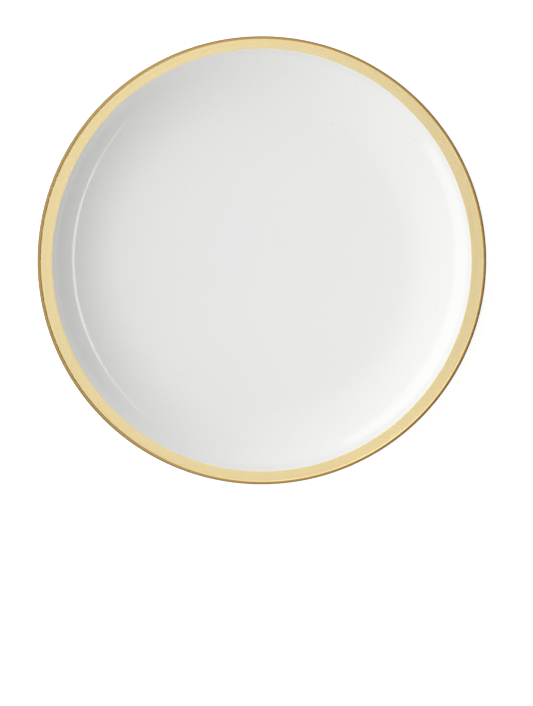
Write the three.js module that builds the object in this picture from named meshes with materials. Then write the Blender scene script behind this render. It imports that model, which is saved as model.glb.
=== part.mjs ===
import * as THREE from "three";

// A deep coupe dinner plate in white porcelain: a pressed plate on a cast, luted foot, glazed all
// over but for the foot's standing face, with a burnished gold rim. Millimetres, +Z up. The origin
// is on the axis of the plate, in the plane that the foot stands on.

// The whole plate, over the gold
const RIM_RADIUS = 130;
const HEIGHT = 44;

// The layers
const GLAZE = 0.25; // thickness of the glaze
const GOLD = 0.1; // height of the gold over the glaze, far more than the fired film's
const HAIRLINE = 0.004; // between one layer and the next, so that their facets never cross

// The well and the wall, measured over the glaze
const LIP_THICKNESS = 2.3;
const WALL_THICKNESS = 3.6; // at the bottom of the wall
const FLOOR_THICKNESS = 4;
const FLOOR_SWEEP_RADIUS = 50; // the long curve between floor and inner wall
const OUTER_WALL_RADIUS = 260; // the outer wall's own slight curve, in section
const UNDERSIDE_RADIUS = 105; // where the flat underside turns up
const UNDERSIDE_CORNER_RADIUS = 1.5;

// The foot, measured over the glaze
const FOOT_HEIGHT = 14.8; // standing face to underside
const FOOT_RADIUS = 50.5; // outer face, carried down to the standing plane
const FOOT_FLARE = 28.4; // degrees from upright, widening towards the plate
const FOOT_THICKNESS = 5; // along the standing plane
const FOOT_OUTER_SWEEP_RADIUS = 5.8; // the curves between foot and underside
const FOOT_INNER_SWEEP_RADIUS = 2.5;
const FOOT_EDGE_RADIUS = 0.8; // the sponged edges of the standing face
const GLAZE_STOP = 1.4; // the glaze is wiped off below this height
const SLIP = 0.4; // thickness of the luting slip between foot and plate

// The gold bands
const INNER_GOLD_WIDTH = 7.7; // how far the inside band reaches in from the rim
const OUTER_GOLD_DEPTH = 8.4; // how far the outside band reaches down from the rim

const SEGMENTS = 48; // round the axis
const MEET = 1e-6; // places closer than this are one

const BISCUIT = { color: 0xe9e3d8, roughness: 0.75, metalness: 0 };
const WHITE_GLAZE = { color: 0xf4f4f1, roughness: 0.12, metalness: 0 };
const BRIGHT_GOLD = { color: 0xe3c277, roughness: 0.18, metalness: 1 };

const UP = Math.PI / 2;
const DOWN = -UP;

// Half of a cut through the plate is drawn in (r, z). An outline is a list of places on the glazed
// surface, each with the angle that the surface faces there, so that a layer is the outline moved
// along its facings, and layers on one outline share their vertices.
const place = (r, z, facing) => ({ r, z, facing });
const along = (from, distance, angle) => ({
  r: from.r + distance * Math.cos(angle),
  z: from.z + distance * Math.sin(angle),
});
const distance = (a, b) => Math.hypot(b.r - a.r, b.z - a.z);
const bearing = (from, to) => Math.atan2(to.z - from.z, to.r - from.r);

// A round stretch whose surface faces away from its centre.
function bulging(centre, radius, from, to, steps) {
  return Array.from({ length: steps + 1 }, (_, i) => {
    const angle = THREE.MathUtils.lerp(from, to, i / steps);
    const { r, z } = along(centre, radius, angle);
    return place(r, z, angle);
  });
}

// A round stretch whose surface faces its centre.
function hollow(centre, radius, from, to, steps) {
  return bulging(centre, radius, from, to, steps).map(({ r, z, facing }) => place(r, z, facing + Math.PI));
}

// Places and stretches one after another, straight across the gaps. Where two meet, one is kept.
function joined(...pieces) {
  const outline = [];
  for (const next of pieces.flat()) {
    const last = outline[outline.length - 1];
    if (!last || distance(last, next) > MEET) outline.push(next);
  }
  return outline;
}

// The outline as points, moved out by a distance, or in by a negative one. What is on the axis
// stays on it.
function moved(outline, by) {
  return outline.map(({ r, z, facing }) => {
    const at = along({ r, z }, by, facing);
    return new THREE.Vector2(r === 0 ? 0 : at.r, at.z);
  });
}

// The section of a layer that lies on an outline, between two distances from it.
const layer = (outline, inside, outside) => [...moved(outline, outside), ...moved(outline, inside).reverse()];

// The centre of an arc that bulges down and out, from two distances to two points inside it.
function arcCentre(a, distanceA, b, distanceB) {
  const apart = distance(a, b);
  const on = (apart ** 2 + distanceA ** 2 - distanceB ** 2) / (2 * apart);
  const off = Math.sqrt(distanceA ** 2 - on ** 2);
  const way = bearing(a, b);
  return along(along(a, on, way), off, way - UP);
}

// The lip is round, and so is the underside's corner. The outer wall is an arc that touches both.
const lipRadius = LIP_THICKNESS / 2;
const lip = { r: RIM_RADIUS - GOLD - lipRadius, z: HEIGHT - GOLD - lipRadius };
const corner = { r: UNDERSIDE_RADIUS, z: FOOT_HEIGHT + UNDERSIDE_CORNER_RADIUS };
const outerWall = arcCentre(
  lip, OUTER_WALL_RADIUS - lipRadius,
  corner, OUTER_WALL_RADIUS - UNDERSIDE_CORNER_RADIUS,
);
const outerWallLip = bearing(outerWall, lip);
const outerWallCorner = bearing(outerWall, corner);
const outerWallGold = Math.asin((HEIGHT - OUTER_GOLD_DEPTH - outerWall.z) / OUTER_WALL_RADIUS);

// The inner wall runs beside the outer one, turned about the lip so that the wall thickens evenly
// towards its bottom. The floor's sweep touches it and the flat floor, and ends below the gold.
const thickening = (WALL_THICKNESS - LIP_THICKNESS) / distance(lip, corner);
const innerWall = along(lip, OUTER_WALL_RADIUS - lipRadius, outerWallLip + Math.PI - thickening);
const innerWallRadius = OUTER_WALL_RADIUS - LIP_THICKNESS;
const innerWallLip = bearing(innerWall, lip);
const innerWallGold = -Math.acos((RIM_RADIUS - INNER_GOLD_WIDTH - innerWall.r) / innerWallRadius);
const floorZ = FOOT_HEIGHT + FLOOR_THICKNESS;
const goldEdgeZ = along(innerWall, innerWallRadius, innerWallGold).z;
const largestSweep = (goldEdgeZ - floorZ) / (1 + Math.sin(innerWallGold));
const sweepRadius = Math.min(FLOOR_SWEEP_RADIUS, largestSweep);
const sweepZ = floorZ + sweepRadius;
const sweepRun = Math.sqrt((innerWallRadius - sweepRadius) ** 2 - (sweepZ - innerWall.z) ** 2);
const floorSweep = { r: innerWall.r + sweepRun, z: sweepZ };
const innerWallSweep = bearing(innerWall, floorSweep);

// The gilded stretches, from the inner wall over the lip
const gildedInside = hollow(innerWall, innerWallRadius, innerWallGold, innerWallLip, 2);
const gildedLip = joined(
  bulging(lip, lipRadius, innerWallLip + Math.PI, UP, 2),
  bulging(lip, lipRadius, UP, 0, 2),
  bulging(lip, lipRadius, 0, outerWallLip, 2),
);
const gildedOutside = bulging(outerWall, OUTER_WALL_RADIUS, outerWallLip, outerWallGold, 2);

// The plate's surface, from the middle of the well to the end of the flat underside
const plateSurface = joined(
  place(0, floorZ, UP),
  hollow(floorSweep, sweepRadius, DOWN, innerWallSweep, 9),
  hollow(innerWall, innerWallRadius, innerWallSweep, innerWallGold, 1),
  gildedInside,
  gildedLip,
  gildedOutside,
  bulging(outerWall, OUTER_WALL_RADIUS, outerWallGold, outerWallCorner, 4),
  bulging(corner, UNDERSIDE_CORNER_RADIUS, outerWallCorner, DOWN, 2),
);
const undersideMiddle = place(0, FOOT_HEIGHT, DOWN);

// The foot's two faces lean by the flare, and a sweep touches each face and the underside. The
// clay lies a hairline under the glaze, and the slip fills the last of both sweeps.
const flare = THREE.MathUtils.degToRad(FOOT_FLARE);
const lean = (radius, z) => radius + z * Math.tan(flare);
const acrossFlare = (thickness) => thickness / Math.cos(flare);
const outerFacing = -flare;
const innerFacing = Math.PI - flare;
const footInnerRadius = FOOT_RADIUS - FOOT_THICKNESS;
const outerSweepZ = FOOT_HEIGHT - FOOT_OUTER_SWEEP_RADIUS;
const innerSweepZ = FOOT_HEIGHT - FOOT_INNER_SWEEP_RADIUS;
const outerSweep = {
  r: lean(FOOT_RADIUS, outerSweepZ) + acrossFlare(FOOT_OUTER_SWEEP_RADIUS),
  z: outerSweepZ,
};
const innerSweep = {
  r: lean(footInnerRadius, innerSweepZ) - acrossFlare(FOOT_INNER_SWEEP_RADIUS),
  z: innerSweepZ,
};
const clayDepth = GLAZE + HAIRLINE;
const slipTurn = (sweepRadius) => Math.acos(1 - SLIP / (sweepRadius + clayDepth));
const outerSlipEnd = UP + slipTurn(FOOT_OUTER_SWEEP_RADIUS);
const innerSlipEnd = UP - slipTurn(FOOT_INNER_SWEEP_RADIUS);

const slipOutside = hollow(outerSweep, FOOT_OUTER_SWEEP_RADIUS, UP, outerSlipEnd, 1);
const footOutside = joined(
  hollow(outerSweep, FOOT_OUTER_SWEEP_RADIUS, outerSlipEnd, outerFacing + Math.PI, 3),
  place(lean(FOOT_RADIUS, GLAZE_STOP), GLAZE_STOP, outerFacing),
);
const footInside = joined(
  place(lean(footInnerRadius, GLAZE_STOP), GLAZE_STOP, innerFacing),
  hollow(innerSweep, FOOT_INNER_SWEEP_RADIUS, innerFacing - Math.PI, innerSlipEnd, 3),
);
const slipInside = hollow(innerSweep, FOOT_INNER_SWEEP_RADIUS, innerSlipEnd, UP, 1);

// The bare end of the foot: its edges touch the standing plane and the clay's two faces.
const bareOuterRadius = FOOT_RADIUS - acrossFlare(clayDepth);
const bareInnerRadius = footInnerRadius + acrossFlare(clayDepth);
const outerEdge = {
  r: lean(bareOuterRadius, FOOT_EDGE_RADIUS) - acrossFlare(FOOT_EDGE_RADIUS),
  z: FOOT_EDGE_RADIUS,
};
const innerEdge = {
  r: lean(bareInnerRadius, FOOT_EDGE_RADIUS) + acrossFlare(FOOT_EDGE_RADIUS),
  z: FOOT_EDGE_RADIUS,
};
const bareEnd = joined(
  bulging(outerEdge, FOOT_EDGE_RADIUS, outerFacing, DOWN, 2),
  bulging(innerEdge, FOOT_EDGE_RADIUS, DOWN, innerFacing - 2 * Math.PI, 2),
);

const plate = new THREE.Group();

// A solid of revolution from a half section, which either starts and ends on the axis or is closed
// on itself here. Sections are turned the way round that makes their faces point out.
function turned(name, section, finish) {
  const profile = THREE.ShapeUtils.area(section) < 0 ? section.reverse() : section;
  const onAxis = profile[0].x === 0 && profile[profile.length - 1].x === 0;
  if (!onAxis) profile.push(profile[0]);
  const geometry = new THREE.LatheGeometry(profile, SEGMENTS).rotateX(UP);
  const mesh = new THREE.Mesh(geometry, new THREE.MeshStandardMaterial(finish));
  mesh.name = name;
  plate.add(mesh);
}

// The pressed plate, floor and wall in one
const underFoot = [slipOutside[0], slipInside[slipInside.length - 1], undersideMiddle];
turned("plate_body", moved([...plateSurface, ...underFoot], -clayDepth), BISCUIT);

// The slip that lutes the foot to the plate, worked out to a feather edge on both sides
turned("luting_slip", moved([...slipInside, ...slipOutside], -clayDepth), BISCUIT);

// The flared foot ring, bare where it stands
const footSection = [
  ...moved(footOutside, -clayDepth),
  ...moved(bareEnd, 0),
  ...moved(footInside, -clayDepth),
];
turned("foot_ring", footSection, BISCUIT);

// The glaze from the middle of the well over the lip to the foot's bare end, and the glaze of the
// recess inside the foot
const coat = joined(plateSurface, slipOutside, footOutside);
const base = joined(footInside, slipInside, undersideMiddle);
turned("glaze_coat", layer(coat, -GLAZE, 0), WHITE_GLAZE);
turned("glaze_base", layer(base, -GLAZE, 0), WHITE_GLAZE);

// The gold, laid in three passes: a band inside, the edge line over the lip, and a band outside
turned("gold_band_inside", layer(gildedInside, HAIRLINE, GOLD), BRIGHT_GOLD);
turned("gold_lip", layer(gildedLip, HAIRLINE, GOLD), BRIGHT_GOLD);
turned("gold_band_outside", layer(gildedOutside, HAIRLINE, GOLD), BRIGHT_GOLD);

export default plate;
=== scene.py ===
import math

import bmesh
import bpy
import numpy as np
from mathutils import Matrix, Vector


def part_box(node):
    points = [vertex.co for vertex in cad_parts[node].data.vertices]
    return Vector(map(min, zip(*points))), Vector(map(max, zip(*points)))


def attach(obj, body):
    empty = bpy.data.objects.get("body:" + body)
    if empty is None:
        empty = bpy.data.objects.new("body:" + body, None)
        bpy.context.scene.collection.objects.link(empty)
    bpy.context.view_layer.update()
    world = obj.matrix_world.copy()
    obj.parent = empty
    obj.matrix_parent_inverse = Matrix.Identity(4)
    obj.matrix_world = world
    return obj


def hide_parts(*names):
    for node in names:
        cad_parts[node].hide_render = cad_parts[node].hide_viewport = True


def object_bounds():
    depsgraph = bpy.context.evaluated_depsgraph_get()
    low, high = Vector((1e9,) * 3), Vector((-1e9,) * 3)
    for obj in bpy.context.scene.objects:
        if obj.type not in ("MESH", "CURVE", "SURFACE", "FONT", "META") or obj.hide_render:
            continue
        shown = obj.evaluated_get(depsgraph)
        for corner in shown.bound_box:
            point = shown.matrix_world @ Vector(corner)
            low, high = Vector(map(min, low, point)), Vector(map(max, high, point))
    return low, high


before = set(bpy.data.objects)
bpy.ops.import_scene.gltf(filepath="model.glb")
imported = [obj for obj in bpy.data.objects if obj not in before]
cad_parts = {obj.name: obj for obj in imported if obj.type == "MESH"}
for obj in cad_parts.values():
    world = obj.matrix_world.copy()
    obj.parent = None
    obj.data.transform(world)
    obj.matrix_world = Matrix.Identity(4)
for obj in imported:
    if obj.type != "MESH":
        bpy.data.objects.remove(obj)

cad_low, cad_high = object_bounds()

# ---------------------------------------------------------------- the pressed plate
# The floor and wall are one piece of porcelain, pressed on a wheel and fired. It is drawn as half
# of a cut through it, in (radius, height), and turned round the axis. All of it is under glaze.

MM = 0.001
SPOKES = 400
RIM = cad_high.x
HEIGHT = cad_high.z
GILT_RELIEF = 0.1 * MM
LIP_RADIUS = 1.15 * MM
WALL_SECTION_RADIUS = 260 * MM
WALL_THICKENING = 1.3 * MM
FLOOR_THICKNESS = 4 * MM
FLOOR_SWEEP = 50 * MM
UNDERSIDE_RADIUS = 105 * MM
UNDERSIDE_CORNER = 1.5 * MM
GLAZE = 0.25 * MM
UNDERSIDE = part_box("glaze_base")[1].z - GLAZE
UP = math.pi / 2
DOWN = -UP


def along(start, distance, angle):
    return np.array(start) + distance * np.array([math.cos(angle), math.sin(angle)])


def bearing(start, end):
    return math.atan2(end[1] - start[1], end[0] - start[0])


def stretch(centre, radius, start, end, steps, hollow=False):
    """A round run of the surface, as rows of radius, height and the angle that the surface faces."""
    turn = math.pi if hollow else 0.0
    angles = np.linspace(start, end, steps + 1)
    return [(*along(centre, radius, a), a + turn) for a in angles]


def straight(start, end, facing, steps):
    """A flat run of the surface between two points."""
    return [(*(np.array(start) * (1 - t) + np.array(end) * t), facing) for t in np.linspace(0, 1, steps + 1)]


def run_on(*runs):
    """Runs one after another, with each shared place kept once."""
    outline = []
    for row in (row for run in runs for row in run):
        if not outline or math.dist(outline[-1][:2], row[:2]) > 1e-8:
            outline.append(row)
    return outline


def raised(outline, height):
    """The outline moved out along its facings, as points of a half section."""
    moved = [(r + height * math.cos(a) if r > 0 else 0.0, z + height * math.sin(a)) for r, z, a in outline]
    return [(max(r, 0.0), z) for r, z in moved]


# The lip, the outer wall that touches it and the underside's corner, and the inner wall beside it.
lip = np.array([RIM - GILT_RELIEF - LIP_RADIUS, HEIGHT - GILT_RELIEF - LIP_RADIUS])
corner = np.array([UNDERSIDE_RADIUS, UNDERSIDE + UNDERSIDE_CORNER])
lip_to_corner = math.dist(lip, corner)
lip_reach = WALL_SECTION_RADIUS - LIP_RADIUS
corner_reach = WALL_SECTION_RADIUS - UNDERSIDE_CORNER
halfway = (lip_to_corner**2 + lip_reach**2 - corner_reach**2) / (2 * lip_to_corner)
toward_corner = bearing(lip, corner)
nearest_on_line = along(lip, halfway, toward_corner)
outer_centre = along(nearest_on_line, math.sqrt(lip_reach**2 - halfway**2), toward_corner - UP)
outer_at_lip = bearing(outer_centre, lip)
outer_at_corner = bearing(outer_centre, corner)
inner_centre = along(lip, lip_reach, outer_at_lip + math.pi - WALL_THICKENING / lip_to_corner)
inner_radius = WALL_SECTION_RADIUS - 2 * LIP_RADIUS
inner_at_lip = bearing(inner_centre, lip)
floor_height = UNDERSIDE + FLOOR_THICKNESS
sweep_height = floor_height + FLOOR_SWEEP
sweep_reach = inner_radius - FLOOR_SWEEP
floor_end = inner_centre[0] + math.sqrt(sweep_reach**2 - (sweep_height - inner_centre[1]) ** 2)
inner_at_sweep = bearing(inner_centre, (floor_end, sweep_height))

well_run = run_on(
    straight((0, floor_height), (floor_end, floor_height), UP, 24),
    stretch((floor_end, sweep_height), FLOOR_SWEEP, DOWN, inner_at_sweep, 36, hollow=True),
    stretch(inner_centre, inner_radius, inner_at_sweep, inner_at_lip, 12, hollow=True),
)
lip_run = run_on(
    stretch(lip, LIP_RADIUS, inner_at_lip + math.pi, UP, 7),
    stretch(lip, LIP_RADIUS, UP, outer_at_lip, 11),
)
outer_run = run_on(
    stretch(outer_centre, WALL_SECTION_RADIUS, outer_at_lip, outer_at_corner, 24),
    stretch(corner, UNDERSIDE_CORNER, outer_at_corner, DOWN, 6),
)


def kiln_warp(points):
    """The slight bend that a plate takes in the kiln: a rim a little oval and a little out of level,
    and a floor that sags a little between its foot and its wall."""
    x, y, z = points.T
    radius = np.hypot(x, y)
    angle = np.arctan2(y, x)
    lift = (z - UNDERSIDE).clip(0) / (HEIGHT - UNDERSIDE)
    oval = 0.14 * MM * lift * np.cos(2 * (angle - 0.4)) + 0.05 * MM * lift * np.cos(3 * angle + 1.1)
    wave = 0.10 * MM * lift * np.cos(2 * angle + 0.9) + 0.05 * MM * lift * np.cos(5 * angle)
    sag = -0.22 * MM * np.exp(-(((radius - 76 * MM) / (17 * MM)) ** 2))
    safe = np.maximum(radius, 1e-9)
    return np.stack([x * (1 + oval / safe), y * (1 + oval / safe), z + wave + sag], axis=1)


def turned(name, section_at, closed):
    """A solid of revolution. section_at gives the half section at an angle round the plate. A closed
    section is a ring in itself, and an open one begins and ends on the axis."""
    angles = np.linspace(0, 2 * math.pi, SPOKES, endpoint=False)
    sections = np.array([section_at(angle) for angle in angles])
    inner = sections if closed else sections[:, 1:-1]
    across = inner[:, :, 0] * np.cos(angles)[:, None], inner[:, :, 0] * np.sin(angles)[:, None]
    grid = np.stack([*across, inner[:, :, 1]], axis=2)
    shape = bmesh.new()
    rows = [[shape.verts.new(p) for p in kiln_warp(spoke)] for spoke in grid]
    ends = []
    if not closed:
        poles = kiln_warp(np.array([[0, 0, sections[0, 0, 1]], [0, 0, sections[0, -1, 1]]]))
        ends = [shape.verts.new(p) for p in poles]
    for this, following in zip(rows, rows[1:] + rows[:1]):
        around = list(zip(this, this[1:] + this[:1], following, following[1:] + following[:1]))
        for corners in around if closed else around[:-1]:
            low, high, low_next, high_next = corners
            shape.faces.new((low, high, high_next, low_next))
        for pole, k in zip(ends, (0, -1)):
            shape.faces.new((pole, this[k], following[k]))
    bmesh.ops.recalc_face_normals(shape, faces=shape.faces)
    mesh = bpy.data.meshes.new(name)
    shape.to_mesh(mesh)
    shape.free()
    mesh.shade_smooth()
    mesh.set_sharp_from_angle(angle=math.radians(40))
    piece = bpy.data.objects.new(name, mesh)
    bpy.context.collection.objects.link(piece)
    return piece


class Shade:
    """A socket of a material, with the arithmetic that its nodes do."""

    def __init__(self, tree, socket):
        self.tree = tree
        self.socket = socket

    def node(self, kind, settings=None, sockets=None, out=0):
        made = self.tree.nodes.new(kind)
        for key, value in (settings or {}).items():
            if key == "stops":
                ramp = made.color_ramp
                while len(ramp.elements) < len(value):
                    ramp.elements.new(1.0)
                for element, (position, colour) in zip(ramp.elements, value):
                    element.position = position
                    element.color = (*colour, 1.0)
            else:
                setattr(made, key, value)
        for key, value in (sockets or {}).items():
            if isinstance(value, Shade):
                self.tree.links.new(value.socket, made.inputs[key])
            else:
                made.inputs[key].default_value = value
        return Shade(self.tree, made.outputs[out])

    def math(self, operation, other=0.0, third=0.0):
        return self.node("ShaderNodeMath", {"operation": operation}, {0: self, 1: other, 2: third})

    def __add__(self, other):
        return self.math("ADD", other)

    def __sub__(self, other):
        return self.math("SUBTRACT", other)

    def __mul__(self, other):
        return self.math("MULTIPLY", other)

    def __truediv__(self, other):
        return self.math("DIVIDE", other)

    def __rsub__(self, other):
        return self.node("ShaderNodeMath", {"operation": "SUBTRACT"}, {0: other, 1: self})

    __radd__ = __add__
    __rmul__ = __mul__

    def band(self, low, high):
        """0 below low, 1 above high, and smooth between."""
        settings = {"interpolation_type": "SMOOTHSTEP"}
        return self.node("ShaderNodeMapRange", settings, {"Value": self, "From Min": low, "From Max": high})

    def blend(self, plain, full):
        """The colour plain where this is 0 and full where it is 1."""
        colours = {}
        for key, colour in ((6, plain), (7, full)):
            colours[key] = colour if isinstance(colour, Shade) else (*colour, 1.0)
        return self.node("ShaderNodeMix", {"data_type": "RGBA"}, {0: self, **colours}, out=2)

    def noise(self, scale, detail=2.0):
        """Soft noise from this position, round 0.5."""
        return self.node("ShaderNodeTexNoise", {}, {"Vector": self, "Scale": scale, "Detail": detail})

    def bump(self, height):
        """A normal from this height in metres."""
        return self.node("ShaderNodeBump", {}, {"Strength": 1.0, "Distance": height, "Height": self})


def finish_of(name, **constants):
    """A new material, its Principled sockets set to the constants, and its object-space position."""
    material = bpy.data.materials.new(name)
    material.use_nodes = True
    tree = material.node_tree
    surface = tree.nodes["Principled BSDF"]
    for key, value in constants.items():
        surface.inputs[key.replace("_", " ")].default_value = value
    where = Shade(tree, tree.nodes.new("ShaderNodeTexCoord").outputs["Object"])
    return material, surface, where


def feed(surface, **inputs):
    """Link shades to the Principled sockets that they are named after."""
    for key, shade in inputs.items():
        shade.tree.links.new(shade.socket, surface.inputs[key.replace("_", " ")])


def biscuit():
    """Fired, unglazed porcelain: matte and faintly warm, with fine tooth and a few kiln specks."""
    material, surface, where = finish_of("biscuit_porcelain", IOR=1.5)
    grain = where.noise(2600.0, detail=3.0)
    cloud = where.noise(45.0)
    speck = where.noise(900.0, detail=0.0).band(0.74, 0.8)
    clay = cloud.blend((0.80, 0.775, 0.73), (0.86, 0.84, 0.80))
    feed(
        surface,
        Base_Color=(speck * 0.5).blend(clay, (0.42, 0.36, 0.29)),
        Roughness=grain * 0.25 + 0.62,
        Normal=grain.bump(0.06 * MM),
    )
    return material


biscuit_porcelain = biscuit()

underside_run = straight((UNDERSIDE_RADIUS, UNDERSIDE), (0, UNDERSIDE), DOWN, 30)
body_section = raised(run_on(well_run, lip_run, outer_run, underside_run), -GLAZE)
plate_body = turned("plate_body_fired", lambda angle: body_section, closed=False)
plate_body.data.materials.append(biscuit_porcelain)
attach(plate_body, "root")
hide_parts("plate_body")

# ---------------------------------------------------------------- the foot and its slip
# A flared ring of the same porcelain, cast by itself and luted under the plate with liquid clay,
# which is worked out to a feather edge. It stands on a bare ring, sponged round at both edges.

FOOT_RADIUS = 50.5 * MM
FOOT_THICKNESS = 5 * MM
FLARE = math.radians(28.4)
OUTER_SWEEP = 5.8 * MM
INNER_SWEEP = 2.5 * MM
FOOT_EDGE = 0.8 * MM
GLAZE_STOP = 1.4 * MM
SLIP = 0.4 * MM


def lean(radius, height):
    return radius + height * math.tan(FLARE)


def across_flare(thickness):
    return thickness / math.cos(FLARE)


outer_sweep = (
    lean(FOOT_RADIUS, UNDERSIDE - OUTER_SWEEP) + across_flare(OUTER_SWEEP),
    UNDERSIDE - OUTER_SWEEP,
)
foot_inner_radius = FOOT_RADIUS - FOOT_THICKNESS
inner_sweep = (
    lean(foot_inner_radius, UNDERSIDE - INNER_SWEEP) - across_flare(INNER_SWEEP),
    UNDERSIDE - INNER_SWEEP,
)
outer_slip = UP + math.acos(1 - SLIP / (OUTER_SWEEP + GLAZE))
inner_slip = UP - math.acos(1 - SLIP / (INNER_SWEEP + GLAZE))
slip_outside = stretch(outer_sweep, OUTER_SWEEP, UP, outer_slip, 4, hollow=True)
slip_inside = stretch(inner_sweep, INNER_SWEEP, inner_slip, UP, 4, hollow=True)
outer_face_top = stretch(outer_sweep, OUTER_SWEEP, outer_slip, math.pi - FLARE, 10, hollow=True)
inner_face_top = stretch(inner_sweep, INNER_SWEEP, -FLARE, inner_slip, 10, hollow=True)


def foot_outside(stop):
    end = (lean(FOOT_RADIUS, stop), stop)
    return run_on(outer_face_top, straight(outer_face_top[-1][:2], end, -FLARE, 8))


def foot_inside(stop):
    start = (lean(foot_inner_radius, stop), stop)
    return run_on(straight(start, inner_face_top[0][:2], math.pi - FLARE, 8), inner_face_top)


bare_outer = lean(FOOT_RADIUS - across_flare(GLAZE), FOOT_EDGE) - across_flare(FOOT_EDGE)
bare_inner = lean(foot_inner_radius + across_flare(GLAZE), FOOT_EDGE) + across_flare(FOOT_EDGE)
bare_end = run_on(
    stretch((bare_outer, FOOT_EDGE), FOOT_EDGE, -FLARE, DOWN, 6),
    straight((bare_outer, 0), (bare_inner, 0), DOWN, 6),
    stretch((bare_inner, FOOT_EDGE), FOOT_EDGE, DOWN, -math.pi - FLARE, 6),
)
foot_section = [
    *raised(foot_outside(GLAZE_STOP), -GLAZE),
    *raised(bare_end, 0),
    *raised(foot_inside(GLAZE_STOP), -GLAZE),
]
foot_ring = turned("foot_ring_fired", lambda angle: foot_section, closed=True)
slip_section = raised([*slip_inside, *slip_outside], -GLAZE)
luting_slip = turned("luting_slip_fired", lambda angle: slip_section, closed=True)
for piece, node in ((foot_ring, "foot_ring"), (luting_slip, "luting_slip")):
    piece.data.materials.append(biscuit_porcelain)
    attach(piece, "root")
    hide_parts(node)

# ---------------------------------------------------------------- the glaze
# A clear, hard glaze fired on the white body, so that the two look like one deep white. It covers
# everything but the standing ring, above which it was wiped off by hand before firing.

WIPE_WAVER = 0.25 * MM
outer_sweep_top = (outer_sweep[0], UNDERSIDE)
inner_sweep_top = (inner_sweep[0], UNDERSIDE)


def wiped(angle, phase):
    """The height at which the glaze was wiped off, at an angle round the foot."""
    waver = math.sin(3 * angle + phase) + 0.5 * math.sin(8 * angle + 2 * phase) + 0.3 * math.sin(17 * angle)
    return GLAZE_STOP + WIPE_WAVER * waver


def film(outline, height):
    """The section of a layer of even height that lies on an outline."""
    return raised(outline, height) + raised(outline, 0)[::-1]


def under(outline):
    """The outline of the clay below the glaze."""
    return [(r - GLAZE * math.cos(a) if r > 0 else 0.0, z - GLAZE * math.sin(a), a) for r, z, a in outline]


def coat_at(angle):
    span = straight((UNDERSIDE_RADIUS, UNDERSIDE), outer_sweep_top, DOWN, 20)
    outline = run_on(well_run, lip_run, outer_run, span, slip_outside, foot_outside(wiped(angle, 0.7)))
    return film(under(outline), GLAZE)


def base_at(angle):
    span = straight(inner_sweep_top, (0, UNDERSIDE), DOWN, 20)
    outline = run_on(foot_inside(wiped(angle, 2.1)), slip_inside, span)
    return film(under(outline), GLAZE)


def white_glaze():
    """Glaze over porcelain: a hard gloss that is never quite flat, white with a breath of grey-green
    in soft clouds, and a pinhole here and there."""
    material, surface, where = finish_of("white_glaze", IOR=1.52)
    flow = where.noise(38.0, detail=1.0)
    skin = where.noise(420.0, detail=2.0)
    cloud = where.noise(16.0)
    pinhole = where.noise(650.0, detail=0.0).band(0.80, 0.83)
    white = cloud.blend((0.800, 0.808, 0.802), (0.822, 0.826, 0.818))
    feed(
        surface,
        Base_Color=(pinhole * 0.25).blend(white, (0.55, 0.52, 0.46)),
        Roughness=skin * 0.05 + 0.06,
        Normal=(flow + skin * 0.03 - pinhole * 0.05).bump(0.05 * MM),
    )
    return material


glaze = white_glaze()
glaze_coat = turned("glaze_coat_fired", coat_at, closed=False)
glaze_base = turned("glaze_base_fired", base_at, closed=False)
for piece, node in ((glaze_coat, "glaze_coat"), (glaze_base, "glaze_base")):
    piece.data.materials.append(glaze)
    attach(piece, "root")
    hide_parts(node)

# ---------------------------------------------------------------- the gold
# Bright gold laid on the fired glaze with a soft brush while the plate turns on a banding wheel:
# a band inside, a band outside, and the edge line over the lip. The last firing leaves it polished.

GILT = 0.03 * MM
GILT_EDGE = 0.004 * MM
GILT_BED = 0.001 * MM
INNER_BAND = 7.75 * MM
OUTER_BAND = 8.4 * MM
LAP_ANGLE = math.radians(133)
# Outward from this width inside the rim, the edge gold is painted bronze as a painted dark reflection,
# blurred over the fade below it.
PAINTED_REFLECTION_WIDTH = 1.75 * MM
PAINTED_REFLECTION_FADE = 0.35 * MM


def hand(angle, phase):
    """The fine waver of the brush, at most about 1."""
    slow = math.sin(7 * angle + phase)
    quick = 0.7 * math.sin(16 * angle + 2.3 * phase) + 0.4 * math.sin(41 * angle)
    return (slow + quick) / 2


def lap(angle):
    """1 where the brush came back to its start, falling off within a few degrees."""
    apart = (angle - LAP_ANGLE + math.pi) % (2 * math.pi) - math.pi
    return math.exp(-((apart / math.radians(2.2)) ** 2))


def gilt_film(outline):
    """Gold on a stretch of glaze, thinning to nothing at its two edges."""
    along_band = np.linspace(-1, 1, len(outline))
    heights = GILT * (1 - along_band**8)
    outer = [raised([row], h + GILT_EDGE)[0] for row, h in zip(outline, heights)]
    return outer + raised(outline, GILT_BED)[::-1]


def inner_band_at(angle):
    off_centre = 0.54 * math.cos(2 * angle) - 0.21 * math.sin(angle)
    width = INNER_BAND + (off_centre + 0.07 * hand(angle, 0.4) - 0.35 * lap(angle)) * MM
    start = -math.acos((RIM - width - inner_centre[0]) / inner_radius)
    return gilt_film(stretch(inner_centre, inner_radius, start, inner_at_lip, 20, hollow=True))


def outer_band_at(angle):
    depth = OUTER_BAND + (0.2 * math.cos(angle + 1.0) + 0.08 * hand(angle, 1.9)) * MM
    end = math.asin((HEIGHT - depth - outer_centre[1]) / WALL_SECTION_RADIUS)
    return gilt_film(stretch(outer_centre, WALL_SECTION_RADIUS, outer_at_lip, end, 20))


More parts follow.
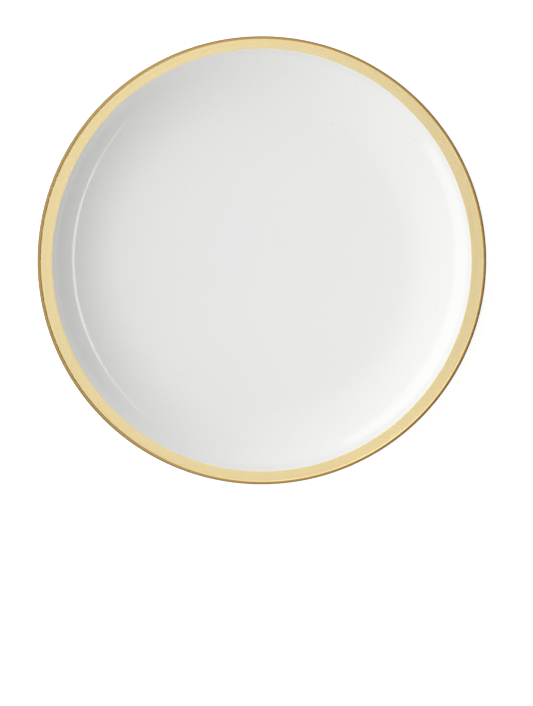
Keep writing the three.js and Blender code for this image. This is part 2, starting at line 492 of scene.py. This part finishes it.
def bright_gold(name, bright, starved_and_painted_reflection, smoothness, relief, painted_reflection_from=2 * RIM):
    """Fired gold, satin or polished: warm metal with fine brush lines that run round the plate, deeper
    where a line is starved, a dark reflection painted on beyond a radius, and a light haze from handling."""
    material, surface, where = finish_of(name, Metallic=1.0)
    x, y, z = (where.node("ShaderNodeSeparateXYZ", {}, {0: where}, out=i) for i in range(3))
    radius = (x * x + y * y).math("SQRT")
    up_wall = radius + z

    def lines_round(spread, fineness, detail):
        places = {0: x / radius * spread, 1: y / radius * spread, 2: up_wall * fineness}
        return where.node("ShaderNodeCombineXYZ", {}, places).noise(1.0, detail)

    stroke = lines_round(1.6, 900.0, 1.0)
    hair = lines_round(5.0, 3200.0, 2.0)
    haze = where.noise(70.0, detail=3.0)
    starved = (stroke * 0.6 + hair * 0.4).band(0.5, 0.72)
    # Beyond a radius the colour goes over to the deep tone: a painted dark reflection of the room on the lip.
    painted_dark_reflection = radius.band(painted_reflection_from - PAINTED_REFLECTION_FADE, painted_reflection_from + PAINTED_REFLECTION_FADE)
    feed(
        surface,
        Base_Color=(starved * 0.5).math("MAXIMUM", painted_dark_reflection).blend(bright, starved_and_painted_reflection),
        Roughness=(haze * 0.3 + hair * 0.5 + stroke * 0.3 + 0.45) * smoothness,
        Normal=(stroke * 0.7 + hair * 0.3).bump(relief),
    )
    return material


inner_gold = bright_gold("bright_gold_inside", (1.0, 0.83, 0.46), (0.92, 0.65, 0.32), 0.13, 0.002 * MM)
outer_gold = bright_gold("bright_gold_outside", (0.96, 0.74, 0.36), (0.90, 0.64, 0.29), 0.07, 0.002 * MM)
# Bronze for the edge gold: its starved brush lines, and a painted dark reflection over the outer part of the
# lip.
starved_and_painted_reflection_bronze = (0.40, 0.25, 0.08)
edge_gold = bright_gold("bright_gold_edge", (0.94, 0.73, 0.37), starved_and_painted_reflection_bronze, 0.16, 0.004 * MM, RIM - PAINTED_REFLECTION_WIDTH)
lip_section = gilt_film(lip_run)
gold_band_inside = turned("gold_band_inside_fired", inner_band_at, closed=True)
gold_band_outside = turned("gold_band_outside_fired", outer_band_at, closed=True)
gold_lip = turned("gold_lip_fired", lambda angle: lip_section, closed=True)
for piece, node, gold in (
    (gold_band_inside, "gold_band_inside", inner_gold),
    (gold_band_outside, "gold_band_outside", outer_gold),
    (gold_lip, "gold_lip", edge_gold),
):
    piece.data.materials.append(gold)
    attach(piece, "root")
    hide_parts(node)

# ---------------------------------------------------------------- the studio
# A white table and a white room, a large soft light low on the left, a narrow one on the right in two
# overlapping strips, three cards close to the table, and a long lens straight above the plate.


def floor_finish():
    """The white table, lit a little from below so that it shows no hard shadow."""
    material, surface, where = finish_of("white_table", Emission_Strength=0.34, Specular_IOR_Level=0.0)
    paper = where.noise(300.0)
    surface.inputs["Emission Color"].default_value = (1, 1, 1, 1)
    feed(surface, Base_Color=paper.blend((0.90, 0.90, 0.90), (0.93, 0.93, 0.93)), Roughness=paper * 0.1 + 0.6)
    return material


FLOOR_REACH = 18.0
table_mesh = bpy.data.meshes.new("table")
spread = [(FLOOR_REACH * sx, FLOOR_REACH * sy, 0) for sx, sy in ((-1, -1), (1, -1), (1, 1), (-1, 1))]
table_mesh.from_pydata(spread, [], [(0, 1, 2, 3)])
table = bpy.data.objects.new("table", table_mesh)
bpy.context.collection.objects.link(table)
table.data.materials.append(floor_finish())

scene = bpy.context.scene
scene.view_settings.view_transform = "Standard"
world = bpy.data.worlds.new("white_room")
scene.world = world
world.use_nodes = True
world.node_tree.nodes["Background"].inputs["Color"].default_value = (1.0, 1.0, 1.0, 1.0)
room = Shade(world.node_tree, world.node_tree.nodes["Background"].inputs["Strength"])
seen = room.node("ShaderNodeLightPath", out=0)
ray = room.node("ShaderNodeTexCoord", out=0)
toward_x, toward_y = (room.node("ShaderNodeSeparateXYZ", {}, {0: ray}, out=i) for i in range(2))
# The room is brightest a little to the left of the middle, and darkest at the far right.
falls_off = toward_x * toward_x * -1.02
leans = toward_y * 0.10 - toward_x * 0.62
wash = (falls_off + leans + 1.18).math("MAXIMUM", 0.04)
# The camera sees it plain white.
room.tree.links.new((seen * (1.0 - wash) + wash).socket, room.socket)


def upright_light(name, shape, bearing_angle, distance, lowest, highest, width, radiance):
    """A light that stands upright at this bearing, anticlockwise from +X, and faces the plate."""
    lamp = bpy.data.lights.new(name, "AREA")
    lamp.shape = shape
    lamp.size = width
    lamp.size_y = highest - lowest
    lamp.energy = math.pi * radiance * width * (highest - lowest) * (math.pi / 4 if shape == "ELLIPSE" else 1)
    light = bpy.data.objects.new(name, lamp)
    a = math.radians(bearing_angle)
    toward = Vector((math.cos(a), math.sin(a), 0))
    light.location = toward * distance + Vector((0, 0, (lowest + highest) / 2))
    light.rotation_euler = toward.to_track_quat("Z", "Y").to_euler()
    light.visible_camera = False
    bpy.context.collection.objects.link(light)
    return light


upright_light(
    "softbox_left",
    "RECTANGLE",
    bearing_angle=164,
    distance=1.6,
    lowest=0.03,
    highest=0.762,
    width=3.9,
    radiance=1.0,
)
for name, distance, lowest, highest, width, radiance in (
    ("strip_right", 0.9, 0.552, 0.628, 2.3, 2.6),
    ("strip_right_middle", 0.93, 0.567, 0.646, 1.25, 2.7),
):
    strip = upright_light(name, "ELLIPSE", 4, distance, lowest, highest, width, radiance)
    strip.visible_diffuse = False


CARD_HEIGHT = 1.5 * MM
CARD_STEPS = 72
CARD_REACH = 3.0
MIRRORED_FROM = 138.5 * MM
FRONT_MIDDLE = math.radians(-72)
FRONT_HALF_WIDTH = math.radians(9)
WHITE = (0.95, 0.95, 0.95)
OLIVE = (0.20, 0.17, 0.10)


def low_card(name, seen_by, inner, outer, start, end, tone_at):
    """A flat card just above the table, seen only from above, and only by the rays that seen_by names."""
    shape = bmesh.new()
    steps = []
    for angle in np.linspace(start, end, CARD_STEPS + 1):
        toward = np.array([math.cos(angle), math.sin(angle), 0])
        steps.append([shape.verts.new(toward * r + (0, 0, CARD_HEIGHT)) for r in (inner, outer)])
    for this, following in zip(steps, steps[1:]):
        shape.faces.new((this[0], this[1], following[1], following[0]))
    mesh = bpy.data.meshes.new(name)
    shape.to_mesh(mesh)
    shape.free()
    card = bpy.data.objects.new(name, mesh)
    bpy.context.collection.objects.link(card)
    material, surface, where = finish_of(name, Roughness=1.0, Emission_Strength=1.0)
    surface.inputs["Base Color"].default_value = (0, 0, 0, 1)
    x, y = (where.node("ShaderNodeSeparateXYZ", {}, {0: where}, out=i) for i in range(2))
    radius = (x * x + y * y).math("SQRT")
    from_below = where.node("ShaderNodeNewGeometry", out="Backfacing")
    feed(surface, Emission_Color=tone_at(x, y, radius), Alpha=1.0 - from_below)
    mesh.materials.append(material)
    card.visible_camera = card.visible_shadow = False
    card.visible_glossy = seen_by == "glossy"
    card.visible_diffuse = seen_by == "diffuse"


def ring_tone(fade_from, fade_to, near, left, right):
    """One tone near the plate, which goes over to one on the left and another on the right."""

    def tone_at(x, y, radius):
        sides = (x / radius).band(-0.6, 0.6).blend(left, right)
        return radius.band(fade_from, fade_to).blend(near, sides)

    return tone_at


def front_tone(x, y, radius):
    """Olive in the middle of its width, and the table's white at both ends."""
    off_middle = (x * math.cos(FRONT_MIDDLE) + y * math.sin(FRONT_MIDDLE)) / radius
    inside = off_middle.band(math.cos(FRONT_HALF_WIDTH), math.cos(FRONT_HALF_WIDTH / 2))
    return inside.blend(WHITE, OLIVE)


# What the polished gold mirrors: a dark left, a dull right, and a small patch in front.
mirrored = ring_tone(MIRRORED_FROM, MIRRORED_FROM + 4 * MM, WHITE, (0.045, 0.030, 0.022), (0.40, 0.36, 0.30))
low_card("card_ring", "glossy", MIRRORED_FROM, CARD_REACH, -math.pi, math.pi, mirrored)
front_start, front_end = FRONT_MIDDLE - FRONT_HALF_WIDTH, FRONT_MIDDLE + FRONT_HALF_WIDTH
low_card("card_front", "glossy", 128 * MM, MIRRORED_FROM, front_start, front_end, front_tone)
# What lights the foot and the outer wall from below.
bounce = ring_tone(52 * MM, 142 * MM, (0.62, 0.605, 0.58), (0.76, 0.77, 0.79), (0.97, 0.98, 1.0))
low_card("card_bounce", "diffuse", 52 * MM, CARD_REACH, -math.pi, math.pi, bounce)

LENS_HEIGHT = 3.0
LENS_PLACE = (0.0027, -0.0537)
FRAME_TALL = 0.4090
SENSOR = 36.0
camera = bpy.data.objects.new("camera", bpy.data.cameras.new("camera"))
bpy.context.collection.objects.link(camera)
camera.location = (*LENS_PLACE, LENS_HEIGHT)
camera.data.sensor_width = SENSOR
camera.data.lens = SENSOR * (LENS_HEIGHT - HEIGHT) / FRAME_TALL
scene.camera = camera
